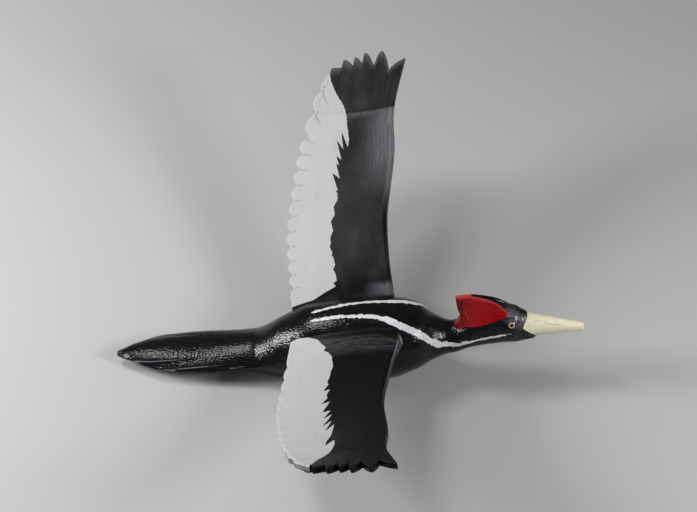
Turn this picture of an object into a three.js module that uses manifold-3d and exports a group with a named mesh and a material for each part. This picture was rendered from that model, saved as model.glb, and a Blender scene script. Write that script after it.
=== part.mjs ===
import * as THREE from "three";
import { mergeVertices } from "three/addons/utils/BufferGeometryUtils.js";
import Module from "manifold-3d";

// A woodpecker in flight with both wings spread, carved in wood and painted, about life size.
// Millimetres. X runs from the tail to the bill, Y to the bird's left wing, Z up.
// The bird lies on its belly, on a small flat, and the origin is on that flat.

const wasm = await Module();
wasm.setup();

// Driving dimensions
const LENGTH = 500; // tip of the tail to tip of the bill
const BILL_TIP_X = 248;
const TAIL_TIP_X = BILL_TIP_X - LENGTH;
const GAP = 0.3; // between pieces that touch

// Cross sections from tail to face: where the centre is, the half width, and how far each one
// reaches above and below its centre. The tail is a low dome, the trunk and neck nearly round.
const SECTIONS = [
  { name: "tail tip", x: TAIL_TIP_X, z: 14, half: 2.5, up: 1.6, down: 1.6 },
  { name: "tail point", x: -234, z: 15, half: 13.5, up: 4.6, down: 3.6 },
  { name: "tail blade", x: -214, z: 16.8, half: 21, up: 6.6, down: 5 },
  { name: "tail widest", x: -158, z: 20.5, half: 29.4, up: 8.4, down: 7 },
  { name: "tail root", x: -107, z: 25.3, half: 29, up: 13, down: 12.5 },
  { name: "rump", x: -75, z: 31.8, half: 34, up: 29.6, down: 29.6 },
  { name: "loin", x: -43, z: 39.4, half: 40.6, up: 39, down: 40 },
  { name: "belly", x: 0, z: 43.6, half: 43, up: 43.2, down: 45.2 },
  { name: "breast", x: 42, z: 47.2, half: 42.6, up: 43.4, down: 46 },
  { name: "shoulder", x: 73, z: 50.7, half: 35.3, up: 35.3, down: 35.3 },
  { name: "throat", x: 89, z: 49.4, half: 24.5, up: 24.5, down: 24.5 },
  { name: "neck", x: 108, z: 50.4, half: 17.6, up: 17.8, down: 17.8 },
  { name: "nape", x: 126, z: 59.2, half: 18, up: 21, down: 18 },
  { name: "crown", x: 150, z: 69, half: 18.8, up: 25, down: 21 },
  { name: "eyes", x: 173, z: 72.2, half: 18.2, up: 23.5, down: 21.2 },
  { name: "face", x: 187, z: 71.3, half: 14.4, up: 17.6, down: 16.8 },
];

// Tail feathers in pairs, the middle pair on top, each next pair lower, wider and shorter.
// A pair widens from its tip to its shoulder, then narrows to its root under the rump.
const TAIL_ROOT_X = -92;
const TAIL_STEP = 1.2;
const TAIL_EDGE = 2.6; // thickness of a feather
const TAIL_PAIRS = [
  { tip: TAIL_TIP_X, tipHalf: 2.2, shoulder: -224, shoulderHalf: 14.4, rootHalf: 9 },
  { tip: -231, tipHalf: 12.4, shoulder: -197, shoulderHalf: 24.6, rootHalf: 11 },
  { tip: -199, tipHalf: 23, shoulder: -172, shoulderHalf: 27.8, rootHalf: 19 },
  { tip: -173, tipHalf: 26.6, shoulder: -150, shoulderHalf: 29.6, rootHalf: 27 },
];

// The crest: a comb that stands on the crown, thin along its ridge, with a cut rear edge
const CREST_FRONT_X = 182;
const CREST_RIDGE = [
  { x: 110, z: 113 },
  { x: 126, z: 115.4 },
  { x: 147, z: 112.4 },
  { x: 168, z: 103 },
  { x: CREST_FRONT_X, z: 89 },
];
const CREST_BASE_Z = { rear: 66, front: 79 };
const CREST_HALF_BELOW = 17;
const CREST_HALF_ABOVE = 1.6;
const CREST_ROUNDING = 30; // the base is rounded off towards the nape over this length
const CREST_REAR = [
  { height: 0, x: 110 },
  { height: 0.2, x: 114.2 },
  { height: 0.4, x: 116.4 },
  { height: 0.6, x: 113.2 },
  { height: 0.8, x: 111.3 },
  { height: 1, x: 110 },
]; // the rear edge has a notch where it leaves the nape

// The bill: let into the face, a straight chisel
const BILL_AXIS_Z = { base: 72, tip: 69.8 };
const BILL_SEAT_X = 177;
const BILL_BASE_HALF = { width: 13.4, height: 16.4 };
const BILL_TIP_HALF = { width: 4.4, height: 5 };
const FACE_SLANT = { side: -5, chin: 11 }; // the face meets the bill further back at the sides

// Inset eyes
const EYE_RADIUS = 5;
const EYE_HALF_DEPTH = 2.4;
const EYE_CENTRE = { x: 170.4, y: 13.5, z: 84.6 };
const EYE_TILT = THREE.MathUtils.degToRad(28); // it looks out and a little up

// The upper corners of the left wing's two edges, from inside the body to the tip. The right
// wing is its mirror image.
const point = (x, y, z) => new THREE.Vector3(x, y, z);
const LEADING_EDGE = new THREE.CatmullRomCurve3([
  point(52, 8, 77),
  point(50.4, 27, 81.2),
  point(41.5, 84, 92),
  point(36, 134, 106),
  point(41.5, 200, 134),
  point(40.5, 242, 156),
  point(52.4, 290.5, 187.5),
]);
const TRAILING_EDGE = new THREE.CatmullRomCurve3([
  point(-62, 8, 56),
  point(-64, 29.5, 59),
  point(-70, 80, 60.6),
  point(-73.4, 124, 70.6),
  point(-71, 165, 87),
  point(-63, 214, 114.5),
  point(-49, 258, 147.5),
  point(-37, 275.5, 163.5),
]);

// Wing thickness and camber
const WING_THICKNESS = { root: 11, tip: 7.6 };
const EDGE_BEVEL = 1.4; // how much the two edges are cut back above and below
const CAMBER = 3;
const ROOT_FILLET = 4.5; // how far the wing's top sweeps up to meet the body
const FILLET_LENGTH = 22;

// Rounded feather ends along the trailing edge, as lengths along it from the body outwards
const TRAILING_INSIDE = 21;
const ROOT_LOBE = 28;
const PLAIN_LOBES = 10;
const PLAIN_LOBE = 18.3;
const OUTER_LOBES = [29, 29, 12];
const LOBE_DEPTH = 3.4;
const OUTER_LOBE_DEPTH = 5.4;
const ROWS_PER_LOBE = 3;

// Feather ends across the wing tip: the share of the chord from the leading edge, and how far
// each point or notch stands out from the line between the tip's two corners
const TIP_OUTLINE = [
  { chord: 0, reach: 0 },
  { chord: 0.045, reach: -1.5 },
  { chord: 0.19, reach: -9, notch: true },
  { chord: 0.3, reach: 15 },
  { chord: 0.38, reach: 0.5, notch: true },
  { chord: 0.485, reach: 18 },
  { chord: 0.55, reach: 8.5, notch: true },
  { chord: 0.62, reach: 16 },
  { chord: 0.665, reach: 7, notch: true },
  { chord: 0.76, reach: 16.5 },
  { chord: 0.795, reach: 9, notch: true },
  { chord: 0.905, reach: 11.5 },
  { chord: 0.925, reach: 5, notch: true },
  { chord: 0.957, reach: 5.5 },
  { chord: 1, reach: 0 },
];
const TIP_SWEEP = 26; // length of wing over which the tip's outline fades in
const TIP_FAN = { leading: 0.12, trailing: -0.2 }; // how the feathers spread, towards each edge
const FEATHER_STRAIGHTENING = 0.3; // the tip feathers run straighter out than the wing's edges
const GROOVE_LENGTH = 20;
const GROOVE_DEPTH = 1.1;

// Mesh density
const TRUNK_ROUND = 26;
const TRUNK_RINGS = 42;
const TRUNK_START_X = -128;
const TRUNK_FULL_X = -104; // behind here the trunk narrows, inside the tail feathers

const { lerp, smoothstep } = THREE.MathUtils;

// Value of one measure at x between rows sorted by x: a cubic curve that never overshoots
function smoothAlong(rows, x, key) {
  const last = rows.length - 1;
  if (x <= rows[0].x) return rows[0][key];
  if (x >= rows[last].x) return rows[last][key];
  const i = rows.findIndex((row) => row.x > x) - 1;
  const rise = (k) => (rows[k + 1][key] - rows[k][key]) / (rows[k + 1].x - rows[k].x);
  const slope = (k) => {
    if (k === 0 || k === last || rise(k - 1) * rise(k) <= 0) return 0;
    return (2 * rise(k - 1) * rise(k)) / (rise(k - 1) + rise(k));
  };
  const width = rows[i + 1].x - rows[i].x;
  const t = (x - rows[i].x) / width;
  const blend = t * t * (3 - 2 * t);
  const leave = t * (1 - t) * (1 - t);
  const arrive = t * t * (t - 1);
  return lerp(rows[i][key], rows[i + 1][key], blend) + width * (leave * slope(i) + arrive * slope(i + 1));
}

// Moves every vertex of a geometry by a function of its place
function reshape(geometry, place) {
  const positions = geometry.attributes.position;
  const vertex = new THREE.Vector3();
  for (let i = 0; i < positions.count; i++) {
    vertex.fromBufferAttribute(positions, i);
    const moved = place(vertex);
    positions.setXYZ(i, moved.x, moved.y, moved.z);
  }
  return geometry;
}

function toSolid(geometry) {
  geometry.deleteAttribute("normal");
  geometry.deleteAttribute("uv");
  const merged = mergeVertices(geometry, 1e-4);
  return new wasm.Manifold(
    new wasm.Mesh({
      numProp: 3,
      vertProperties: merged.attributes.position.array,
      triVerts: new Uint32Array(merged.index.array),
    }),
  );
}

function toGeometry(solid) {
  const mesh = solid.getMesh();
  const geometry = new THREE.BufferGeometry();
  geometry.setAttribute("position", new THREE.BufferAttribute(mesh.vertProperties, mesh.numProp));
  geometry.setIndex(new THREE.BufferAttribute(mesh.triVerts, 1));
  geometry.computeVertexNormals();
  return geometry;
}

// Trunk, neck and head as rings set along the bird; grow makes it larger all round
function trunk(grow) {
  const start = TRUNK_START_X;
  const end = SECTIONS.at(-1).x + grow;
  const tube = new THREE.CylinderGeometry(1, 1, 1, TRUNK_ROUND, TRUNK_RINGS);
  return reshape(tube, (p) => {
    const along = 0.5 - p.y;
    const x = lerp(start, end, along);
    const inset = lerp(0.6, 1, smoothstep(x, TRUNK_START_X, TRUNK_FULL_X));
    const reach = p.z > 0 ? smoothAlong(SECTIONS, x, "up") : smoothAlong(SECTIONS, x, "down");
    const slant = smoothstep(x, end - 22, end) * faceSlant(p);
    return point(
      x + slant,
      p.x * inset * (smoothAlong(SECTIONS, x, "half") + grow),
      smoothAlong(SECTIONS, x, "z") + p.z * inset * (reach + grow),
    );
  });
}

// How far the face's edge sits forward or back, round the head: level above, back at the sides
function faceSlant(p) {
  const side = FACE_SLANT.side * p.x * p.x;
  const chin = FACE_SLANT.chin * Math.max(0, -p.z) ** 3;
  return side + chin;
}

// One pair of tail feathers, as a domed blade
function tailPair(pair, level) {
  const blade = new THREE.BoxGeometry(1, 1, 1, 8, 4, 1);
  return reshape(blade, (p) => {
    const x = lerp(pair.tip, TAIL_ROOT_X, (p.x + 0.5) ** 1.4);
    const across = 2 * p.y;
    const toShoulder = Math.min(1, (x - pair.tip) / (pair.shoulder - pair.tip));
    const toRoot = smoothstep(x, pair.shoulder, TAIL_ROOT_X);
    const bulge = 1 - (1 - toShoulder) ** 2.2;
    const half = lerp(pair.tipHalf, pair.shoulderHalf, bulge) - toRoot * (pair.shoulderHalf - pair.rootHalf);
    const envelope = smoothAlong(SECTIONS, x, "half");
    const y = half * across;
    const centre = smoothAlong(SECTIONS, x, "z");
    const dome = smoothAlong(SECTIONS, x, "up") * (1 - Math.min(1, Math.abs(y) / envelope) ** 2);
    const bottom = centre - TAIL_EDGE;
    return point(x, y, (p.z > 0 ? centre + dome : bottom) - level * TAIL_STEP);
  });
}

// The crest's comb, thick where it leaves the head and thin on top
function crest() {
  const comb = new THREE.BoxGeometry(1, 1, 1, 8, 2, CREST_REAR.length - 1);
  return reshape(comb, (p) => {
    const row = CREST_REAR[Math.round((p.z + 0.5) * (CREST_REAR.length - 1))];
    const x = lerp(row.x, CREST_FRONT_X, (p.x + 0.5) ** 1.5);
    const ridge = smoothAlong(CREST_RIDGE, x, "z");
    const base = lerp(CREST_BASE_Z.rear, CREST_BASE_Z.front, smoothstep(x, row.x, 150));
    const rounding = Math.sqrt(Math.min(1, (x + 1 - CREST_REAR[0].x) / CREST_ROUNDING));
    const narrowing = 1 - 0.75 * smoothstep(x, 150, CREST_FRONT_X);
    const below = CREST_HALF_BELOW * rounding * narrowing;
    const half = lerp(below, CREST_HALF_ABOVE * narrowing, row.height ** 0.8);
    return point(x, 2 * p.y * half, lerp(base, ridge, row.height));
  });
}

// The bill: a long taper with a rounded chisel end
function bill() {
  const taper = new THREE.CylinderGeometry(1, 1, 1, 18, 6);
  return reshape(taper, (p) => {
    const along = 0.5 - p.y;
    const ease = along ** 0.88;
    const width = lerp(BILL_BASE_HALF.width, BILL_TIP_HALF.width, ease);
    const height = lerp(BILL_BASE_HALF.height, BILL_TIP_HALF.height, ease);
    const axis = lerp(BILL_AXIS_Z.base, BILL_AXIS_Z.tip, along);
    return point(lerp(BILL_SEAT_X, BILL_TIP_X, along), p.x * width, axis + p.z * height);
  });
}

// Rows along the span, as lengths on the trailing edge, each with its inset from the edge
function spanRows() {
  const lobes = [ROOT_LOBE, ...Array(PLAIN_LOBES).fill(PLAIN_LOBE), ...OUTER_LOBES];
  const rows = [{ length: 0, inset: 0 }];
  let start = TRAILING_INSIDE;
  rows.push({ length: start, inset: 0 });
  lobes.forEach((lobe, index) => {
    const depth = index > PLAIN_LOBES ? OUTER_LOBE_DEPTH : LOBE_DEPTH;
    for (let step = 1; step <= ROWS_PER_LOBE; step++) {
      const share = step / ROWS_PER_LOBE;
      const isNotch = step === ROWS_PER_LOBE && index < lobes.length - 1;
      const inset = isNotch ? depth : depth * 0.1;
      rows.push({ length: start + share * lobe, inset, notch: isNotch });
    }
    start += lobe;
  });
  return rows.map((row) => ({ ...row, span: row.length / start }));
}

// Left wing, as a grid of rows along the span and columns across the chord
function wing() {
  const rows = spanRows();
  const columns = TIP_OUTLINE;
  const spanLength = rows.at(-1).length;
  const slab = new THREE.BoxGeometry(1, 1, 1, columns.length - 1, rows.length - 1, 1);
  return reshape(slab, (p) => {
    const column = columns[columns.length - 1 - Math.round((p.x + 0.5) * (columns.length - 1))];
    const row = rows[Math.round((p.y + 0.5) * (rows.length - 1))];
    const chord = column.chord;
    const leading = LEADING_EDGE.getPointAt(row.span);
    const trailing = TRAILING_EDGE.getPointAt(row.span);
    const place = leading.clone().lerp(trailing, chord);

    // Three directions: out along the span, across to the trailing edge, and up off the wing
    const outwards = LEADING_EDGE.getTangentAt(row.span);
    const across = trailing.clone().sub(leading).normalize();
    const upwards = outwards.clone().cross(across).normalize();

    // Outline: the tip's feather ends and the lobes of the trailing edge
    const fromTip = (1 - row.span) * spanLength;
    const fan = outwards.clone().setX(lerp(TIP_FAN.leading, TIP_FAN.trailing, chord)).normalize();
    place.addScaledVector(fan, column.reach * (1 - smoothstep(fromTip, 0, TIP_SWEEP)));
    const straight = fromTip * (1 - smoothstep(fromTip, TIP_SWEEP, 3 * TIP_SWEEP));
    place.x += 4 * chord * (1 - chord) * FEATHER_STRAIGHTENING * straight;
    if (chord === 1) place.addScaledVector(across, -row.inset);

    // Height: camber, the sweep up to the body, carved grooves and bevelled edges
    const camber = CAMBER * Math.sin(Math.PI * chord);
    const fillet = row.length < TRAILING_INSIDE ? 0 : filletAt(row.length - TRAILING_INSIDE);
    const isGroove = (column.notch && fromTip < GROOVE_LENGTH) || (row.notch && chord > 0.9);
    const bevel = chord === 0 || chord === 1 ? EDGE_BEVEL : 0;
    const thickness = lerp(WING_THICKNESS.root, WING_THICKNESS.tip, row.span);
    const top = camber + fillet - (isGroove ? GROOVE_DEPTH : 0) - bevel * 0.4;
    const bottom = camber - thickness + bevel;
    return place.addScaledVector(upwards, p.z > 0 ? top : bottom);
  });
}

// Rise of the wing's top near the body, at a distance from the joint
function filletAt(distance) {
  return ROOT_FILLET * (1 - smoothstep(distance, 0, FILLET_LENGTH)) ** 2;
}

// One eye, a flat button set square to the side of the head; grow makes it larger all round
function eye(side, grow) {
  const button = new THREE.SphereGeometry(1, 12, 7);
  button.scale(EYE_RADIUS + grow, EYE_HALF_DEPTH + grow, EYE_RADIUS + grow);
  button.rotateX(side * EYE_TILT);
  return button.translate(EYE_CENTRE.x, side * EYE_CENTRE.y, EYE_CENTRE.z);
}

// The trunk, the tail pairs and the crest are one piece of wood, with sockets for the eyes
// and a flat planed under the belly.
function bodySolid() {
  let body = toSolid(trunk(0)).add(toSolid(crest()));
  TAIL_PAIRS.forEach((pair, level) => {
    body = body.add(toSolid(tailPair(pair, level)));
  });
  for (const side of [1, -1]) {
    body = body.subtract(toSolid(eye(side, GAP)));
  }
  const table = new THREE.BoxGeometry(LENGTH, 200, 40).translate(0, 0, -20);
  return body.subtract(toSolid(table));
}

const body = bodySolid();
const grownTrunk = toSolid(trunk(GAP));
const wingGeometry = toGeometry(toSolid(wing()).subtract(grownTrunk));
const billGeometry = toGeometry(toSolid(bill()).subtract(grownTrunk));

// Finishes
const blackPaint = new THREE.MeshStandardMaterial({ color: 0x0d0d0f, roughness: 0.32, metalness: 0 });
const ivoryPaint = new THREE.MeshStandardMaterial({ color: 0xe6e0bf, roughness: 0.4, metalness: 0 });
const eyePaint = new THREE.MeshStandardMaterial({ color: 0xc9b45a, roughness: 0.12, metalness: 0 });

function piece(name, geometry, material) {
  const mesh = new THREE.Mesh(geometry, material);
  mesh.name = name;
  return mesh;
}

const woodpecker = new THREE.Group();
woodpecker.add(piece("body", toGeometry(body), blackPaint));
woodpecker.add(piece("bill", billGeometry, ivoryPaint));
woodpecker.add(piece("left_wing", wingGeometry, blackPaint));
const rightWing = piece("right_wing", wingGeometry, blackPaint);
rightWing.scale.y = -1;
woodpecker.add(rightWing);
woodpecker.add(piece("left_eye", eye(1, 0), eyePaint));
woodpecker.add(piece("right_eye", eye(-1, 0), eyePaint));

export default woodpecker;
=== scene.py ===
import math

import bmesh
import bpy
import numpy as np
from mathutils import Matrix, Vector, noise


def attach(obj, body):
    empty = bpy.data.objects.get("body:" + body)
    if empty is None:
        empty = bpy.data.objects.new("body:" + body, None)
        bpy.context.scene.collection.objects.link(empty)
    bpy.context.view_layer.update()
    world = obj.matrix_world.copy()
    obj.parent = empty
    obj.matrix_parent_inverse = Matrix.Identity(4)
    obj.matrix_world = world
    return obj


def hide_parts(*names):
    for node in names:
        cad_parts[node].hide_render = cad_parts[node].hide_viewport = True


# A woodpecker carved in wood and painted, in flight with both wings spread. It lies on its belly.
# X runs from the tail to the bill, Y to the bird's left wing, Z up. The origin is on the flat
# under the belly. Pieces are worked out in millimetres and made in metres.

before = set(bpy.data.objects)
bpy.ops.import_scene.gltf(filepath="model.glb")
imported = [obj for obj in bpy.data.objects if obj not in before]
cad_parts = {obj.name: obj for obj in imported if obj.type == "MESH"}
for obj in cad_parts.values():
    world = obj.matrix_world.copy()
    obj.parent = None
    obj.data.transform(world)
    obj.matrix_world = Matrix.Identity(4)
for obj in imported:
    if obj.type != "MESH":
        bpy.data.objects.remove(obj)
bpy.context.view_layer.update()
MM = 0.001


# Camera
# The photograph looks down on the bird's right side with a long lens, almost square to its length.

CAMERA_LOOKS_DOWN = math.radians(46)
CAMERA_TURN = math.radians(1.5)
CAMERA_DISTANCE = 3.0
CAMERA_LENS = 145
CHEST = Vector((0.0422, 0, 0.0472))
CHEST_RIGHT_OF_MIDDLE = 0.0443
CHEST_BELOW_MIDDLE = 0.0865

to_right = Vector((math.cos(CAMERA_TURN), math.sin(CAMERA_TURN), 0))
to_bird = Vector(
    (
        -math.sin(CAMERA_TURN) * math.cos(CAMERA_LOOKS_DOWN),
        math.cos(CAMERA_TURN) * math.cos(CAMERA_LOOKS_DOWN),
        -math.sin(CAMERA_LOOKS_DOWN),
    )
)
upward = to_right.cross(to_bird)
camera_data = bpy.data.cameras.new("camera")
camera_data.lens = CAMERA_LENS
camera = bpy.data.objects.new("camera", camera_data)
bpy.context.scene.collection.objects.link(camera)
turned = Matrix((to_right, upward, -to_bird)).transposed().to_4x4()
view_middle = CHEST - CHEST_RIGHT_OF_MIDDLE * to_right + CHEST_BELOW_MIDDLE * upward
camera.matrix_world = Matrix.Translation(view_middle - CAMERA_DISTANCE * to_bird) @ turned
bpy.context.scene.camera = camera


# Body
# Trunk, neck, head, crest and tail are carved from one block of wood, sanded round, and painted
# gloss black with two white lines down the back and a red crest. The tail feathers are cut in
# low steps.

# x, height of the centre, half width, reach above and reach below the centre
SECTIONS = (
    (-252, 14.0, 2.5, 1.6, 1.6),  # tail tip
    (-234, 15.0, 13.5, 4.6, 3.6),
    (-214, 16.8, 21.0, 6.6, 5.0),
    (-158, 20.5, 29.4, 8.4, 7.0),  # tail at its widest
    (-107, 25.3, 29.0, 13.0, 12.5),
    (-75, 31.8, 34.0, 29.6, 29.6),  # rump
    (-43, 39.4, 40.6, 39.0, 40.0),
    (0, 43.6, 43.0, 43.2, 45.2),  # belly
    (42, 47.2, 42.6, 43.4, 46.0),
    (73, 50.7, 35.3, 35.3, 35.3),  # shoulder
    (89, 49.4, 24.5, 24.5, 24.5),
    (108, 50.4, 17.6, 17.8, 17.8),  # neck
    (126, 59.2, 18.0, 21.0, 18.0),
    (150, 69.0, 18.8, 25.0, 21.0),  # crown
    (173, 72.2, 18.2, 23.5, 21.2),
    (187, 71.3, 14.4, 17.6, 16.8),  # face
)
CENTRE, HALF, ABOVE, BELOW = 1, 2, 3, 4  # the columns of SECTIONS after x


def lerp(a, b, share):
    return a + (b - a) * share


def clamp(value):
    return max(0.0, min(1.0, value))


def smoothstep(value, low, high):
    share = clamp((value - low) / (high - low))
    return share * share * (3 - 2 * share)


def smooth_row(rows, x, column):
    """A measure at x between rows in order of x, on a curve that never overshoots them."""
    last = len(rows) - 1
    if x <= rows[0][0]:
        return rows[0][column]
    if x >= rows[last][0]:
        return rows[last][column]
    i = next(k for k in range(last) if rows[k + 1][0] > x)

    def rise(k):
        return (rows[k + 1][column] - rows[k][column]) / (rows[k + 1][0] - rows[k][0])

    def slope(k):
        if k in (0, last) or rise(k - 1) * rise(k) <= 0:
            return 0
        return 2 * rise(k - 1) * rise(k) / (rise(k - 1) + rise(k))

    width = rows[i + 1][0] - rows[i][0]
    t = (x - rows[i][0]) / width
    blend = t * t * (3 - 2 * t)
    turn = width * (t * (1 - t) ** 2 * slope(i) + t * t * (t - 1) * slope(i + 1))
    return lerp(rows[i][column], rows[i + 1][column], blend) + turn


# The trunk starts slim inside the tail and soon has its full size. Its back starts as a low
# dome, like the tail's, and is round further on. The edge of the face slants a little.
TRUNK_START = -146
TRUNK_START_FILL = 0.3
TRUNK_FULL = -112
TRUNK_ROUNDED = -48
FACE_SIDE_BACK = 5
FACE_CHIN_FORWARD = 11
FACE_SLANT_LENGTH = 22
TRUNK_ROUND = 128
TRUNK_RINGS = 240
CAP_RINGS = 4


def on_ball(v):
    """Share of the way from a ball's lower pole to its upper one, and the direction round it."""
    across, up = v.co.xy.normalized() if v.co.xy.length > 1e-6 else (0, 0)
    return math.acos(max(-1, min(1, -v.co.z))) / math.pi, across, up


def add_trunk(bm):
    """A ball drawn out along the bird, with a flat face where the bill goes in."""
    ball = bmesh.ops.create_uvsphere(bm, u_segments=TRUNK_ROUND, v_segments=TRUNK_RINGS, radius=1)
    cap = CAP_RINGS / TRUNK_RINGS
    face = SECTIONS[-1][0]
    for v in ball["verts"]:
        ring, across, up = on_ball(v)
        x = lerp(TRUNK_START, face, clamp((ring - cap) / (1 - 2 * cap)))
        fill = min(1, ring / cap, (1 - ring) / cap)
        fill *= lerp(TRUNK_START_FILL, 1, smoothstep(x, TRUNK_START, TRUNK_FULL))
        reach = smooth_row(SECTIONS, x, ABOVE if up > 0 else BELOW)
        slant = FACE_CHIN_FORWARD * max(0, -up) ** 3 - FACE_SIDE_BACK * across**2
        if up > 0:
            up = lerp(up * up, up, smoothstep(x, TRUNK_FULL, TRUNK_ROUNDED))
        v.co = (
            x + slant * smoothstep(x, face - FACE_SLANT_LENGTH, face),
            fill * across * smooth_row(SECTIONS, x, HALF),
            smooth_row(SECTIONS, x, CENTRE) + fill * up * reach,
        )


def add_block(bm, cuts, bend):
    """Adds a block cut into small squares, each corner put where bend(along, across, up) says."""
    block = bmesh.new()
    bmesh.ops.create_cube(block, size=1)
    bmesh.ops.subdivide_edges(block, edges=block.edges, cuts=cuts, use_grid_fill=True)
    for v in block.verts:
        v.co = bend(v.co.x + 0.5, 2 * v.co.y, v.co.z + 0.5)
    shape = bpy.data.meshes.new("block")
    block.to_mesh(shape)
    block.free()
    bm.from_mesh(shape)
    bpy.data.meshes.remove(shape)


# Tail feathers in pairs, from the middle pair down: tip, half width at the tip, shoulder, half
# width there, half width at the root
TAIL_PAIRS = (
    (-252, 3.0, -205, 17.0, 15),
    (-231, 12.4, -190, 26.0, 24),
    (-199, 23.0, -168, 28.8, 27),
    (-173, 26.6, -150, 29.6, 28),
)
# Where the side edge of each of the first pairs starts to show, and where it fades out
EDGE_SPANS = ((-235, -150), (-203, -106), (-131, -104))
EDGE_FADES_FROM = 0.45
TAIL_ROOT = -92
TAIL_BULGE = 2.2
TAIL_STEP = 1.2
WORN_TAIL_STEP = 0.6
FEATHER_THICKNESS = 2.6
FEATHER_CUTS = 36
FINER_AT_TIP = 1.4


def pair_half_width(pair, x):
    tip, tip_half, shoulder, shoulder_half, root_half = pair
    bulge = 1 - (1 - min(1, (x - tip) / (shoulder - tip))) ** TAIL_BULGE
    narrowing = smoothstep(x, shoulder, TAIL_ROOT) * (shoulder_half - root_half)
    return lerp(tip_half, shoulder_half, bulge) - narrowing


def edge_fading(x, start, end):
    """1 along nearly half of a side edge, then down to 0 at its end."""
    return 1 - smoothstep(x, lerp(start, end, EDGE_FADES_FROM), end)


def step_down(level, x, step):
    """How far a pair lies below the middle pair: the steps fade out towards the rump."""
    return sum(step * edge_fading(x, *span) for span in EDGE_SPANS[:level])


def add_tail_pair(bm, pair, level):
    def feathers(along, across, up):
        x = lerp(pair[0], TAIL_ROOT, along**FINER_AT_TIP)
        y = across * pair_half_width(pair, x)
        from_middle = min(1, abs(y) / smooth_row(SECTIONS, x, HALF))
        dome = smooth_row(SECTIONS, x, ABOVE) * (1 - from_middle**2)
        height = dome * up - FEATHER_THICKNESS * (1 - up)
        step = TAIL_STEP if y < 0 else WORN_TAIL_STEP
        return (x, y, smooth_row(SECTIONS, x, CENTRE) + height - step_down(level, x, step))

    add_block(bm, FEATHER_CUTS, feathers)


# The crest seen from the side: its ridge as x and height, its rear edge as a share of the height
# and x, and the height of its foot inside the head, at the rear and in front
CREST_FRONT = 182
CREST_RIDGE = ((110, 113), (126, 115.4), (147, 112.4), (168, 103), (CREST_FRONT, 89))
CREST_REAR = ((0, 110), (0.2, 114.2), (0.4, 116.4), (0.6, 113.2), (0.8, 111.3), (1, 110))
CREST_BASE = (66, 79)
CREST_MIDDLE = 150
CREST_HALF_BELOW = 17
CREST_HALF_ABOVE = 1.6
CREST_HOLLOW = 0.8
CREST_NARROWER_IN_FRONT = 0.6
CREST_ROUNDING = 30
CREST_CUTS = 44
FINER_AT_REAR = 1.5


def comb(along, across, up):
    """The comb on the crown: thick where it leaves the head, thin along its ridge."""
    rear = smooth_row(CREST_REAR, up, 1)
    x = lerp(rear, CREST_FRONT, along**FINER_AT_REAR)
    base = lerp(*CREST_BASE, smoothstep(x, rear, CREST_MIDDLE))
    narrowing = 1 - CREST_NARROWER_IN_FRONT * smoothstep(x, CREST_MIDDLE, CREST_FRONT)
    rounding = math.sqrt(clamp((x + 1 - CREST_REAR[0][1]) / CREST_ROUNDING))
    below = CREST_HALF_BELOW * rounding * narrowing
    half = lerp(below, CREST_HALF_ABOVE * narrowing, up**CREST_HOLLOW)
    return (x, across * half, lerp(base, smooth_row(CREST_RIDGE, x, 1), up))


def new_piece(name, bm):
    """Makes the mesh a smooth object at the origin, its place in its mesh, with faces outwards."""
    bmesh.ops.recalc_face_normals(bm, faces=bm.faces)
    mesh = bpy.data.meshes.new(name)
    bm.to_mesh(mesh)
    bm.free()
    for face in mesh.polygons:
        face.use_smooth = True
    piece = bpy.data.objects.new(name, mesh)
    bpy.context.scene.collection.objects.link(piece)
    return piece


# The parts are fused into one skin with small squares, finer across the bird than along it
SKIN_SQUARE = 0.85
SKIN_STRETCH = 0.57
SANDING = 3
TOOL_MARK_DEPTH = 0.14
TOOL_MARK_SIZE = (42, 13)


def fused(bm):
    """One closed skin round everything in the mesh."""
    bmesh.ops.scale(bm, verts=bm.verts, vec=(SKIN_STRETCH, 1, 1))
    raw = new_piece("raw_block", bm)
    remesh = raw.modifiers.new("skin", "REMESH")
    remesh.mode = "VOXEL"
    remesh.voxel_size = SKIN_SQUARE
    seen = raw.evaluated_get(bpy.context.evaluated_depsgraph_get())
    skin = bmesh.new()
    skin.from_mesh(seen.to_mesh())
    bpy.data.objects.remove(raw)
    bmesh.ops.scale(skin, verts=skin.verts, vec=(1 / SKIN_STRETCH, 1, 1))
    return skin


def sand(bm, verts, times):
    for _ in range(times):
        bmesh.ops.smooth_vert(
            bm, verts=verts, factor=0.5, use_axis_x=True, use_axis_y=True, use_axis_z=True
        )


def tool_mark(place, along, across):
    """The knife work, from -1 to 1: long shallow hollows along the bird."""
    return noise.noise(Vector((place.x / along, place.y / across, place.z / across)))


rough = bmesh.new()
add_trunk(rough)
for level, pair in enumerate(TAIL_PAIRS):
    add_tail_pair(rough, pair, level)
add_block(rough, CREST_CUTS, comb)
body_mesh = fused(rough)
sand(body_mesh, body_mesh.verts, SANDING)
body_mesh.normal_update()
for v in body_mesh.verts:
    v.co += v.normal * TOOL_MARK_DEPTH * tool_mark(v.co, *TOOL_MARK_SIZE)
    v.co.z = max(0, v.co.z)

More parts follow.
